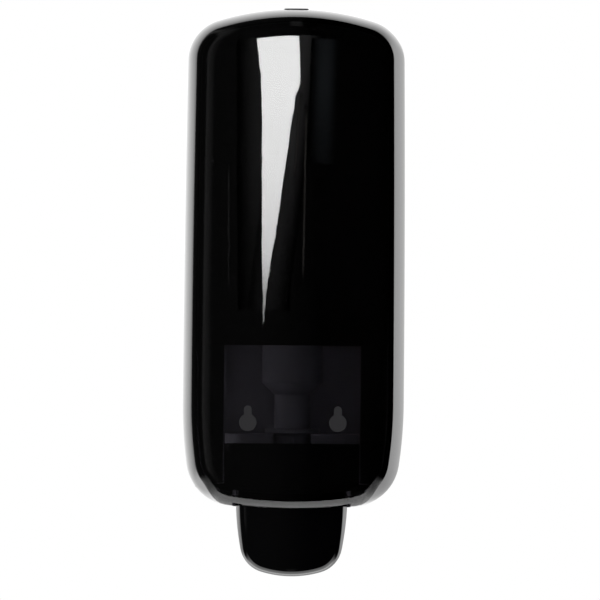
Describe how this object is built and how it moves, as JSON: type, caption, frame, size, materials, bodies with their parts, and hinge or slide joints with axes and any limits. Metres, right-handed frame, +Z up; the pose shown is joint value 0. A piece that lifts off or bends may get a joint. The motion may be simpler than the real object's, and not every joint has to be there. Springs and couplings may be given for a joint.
{
  "type": "wall mounted soap dispenser",
  "caption": "Wall-mounted push-bar soap dispenser: a tall rounded smoked cover, hinged at the foot and locked at the head, over a back plate with a pump refill.",
  "frame": {"origin": "on the wall face of the back plate, at its centre line and half its height", "axes": "+Z up, +Y into the wall, so the front faces -Y; +X to the right as seen from the front"},
  "size_m": [0.113, 0.1119, 0.289],
  "materials": {
    "smoked_plastic": "polished smoked transparent plastic, nearly black",
    "gloss_black_plastic": "polished black moulding",
    "black_plastic": "satin black moulding",
    "plate_plastic": "fine-textured charcoal moulding",
    "bottle_plastic": "milky blow-moulded plastic",
    "pump_plastic": "satin dark moulding",
    "seal_rubber": "matt black rubber",
    "bright_steel": "bright zinc-plated steel",
    "dark_zinc": "black-plated die-cast zinc"
  },
  "bodies": {
    "wall_unit": {"back_plate": "plate_plastic", "refill_shelf": "plate_plastic", "shelf_screw_left": "bright_steel", "shelf_screw_right": "bright_steel", "hinge_pin_left": "bright_steel", "hinge_pin_right": "bright_steel", "refill_bottle": "bottle_plastic", "neck_gasket": "seal_rubber", "pump_housing": "pump_plastic", "pump_gland": "pump_plastic", "inlet_ball": "bright_steel", "valve_retainer": "pump_plastic", "lock_strike": "bright_steel", "strike_screw": "bright_steel"},
    "pump_stem": {"pump_piston": "pump_plastic", "piston_seal": "seal_rubber", "pump_nozzle": "pump_plastic", "outlet_valve": "seal_rubber", "pump_spring": "bright_steel"},
    "cover": {"cover_shell": "smoked_plastic", "cover_liner": "black_plastic", "bar_carrier": "black_plastic", "carrier_screw_left": "bright_steel", "carrier_screw_right": "bright_steel", "bar_pin_left": "bright_steel", "bar_pin_right": "bright_steel", "lock_sleeve": "dark_zinc", "lock_nut": "bright_steel"},
    "bar": {"push_bar": "gloss_black_plastic", "lift_fork": "pump_plastic"},
    "lock": {"lock_barrel": "dark_zinc", "lock_cam": "bright_steel", "cam_screw": "bright_steel"}
  },
  "joints": [
    {"name": "cover_hinge", "type": "hinge", "parent": "wall_unit", "child": "cover", "pos_m": [0, -0.019, -0.113], "axis": [1, 0, 0], "range_deg": [0, 60]},
    {"name": "bar_push", "type": "hinge", "parent": "cover", "child": "bar", "pos_m": [0, -0.088, -0.109], "axis": [1, 0, 0], "range_deg": [0, 15], "stiffness_Nm_per_rad": 0.83, "springref_deg": -6.65},
    {"name": "pump_stroke", "type": "slide", "parent": "wall_unit", "child": "pump_stem", "axis": [0, 0, 1], "range_m": [0, 0.009], "deforming": ["pump_spring"]},
    {"name": "lock_turn", "type": "hinge", "parent": "cover", "child": "lock", "pos_m": [0, -0.024, 0.12], "axis": [0, 0, 1], "range_deg": [0, 90]}
  ],
  "couplings": [
    {"joint": "pump_stroke", "follows": "bar_push", "m_per_rad": 0.03437}
  ]
}
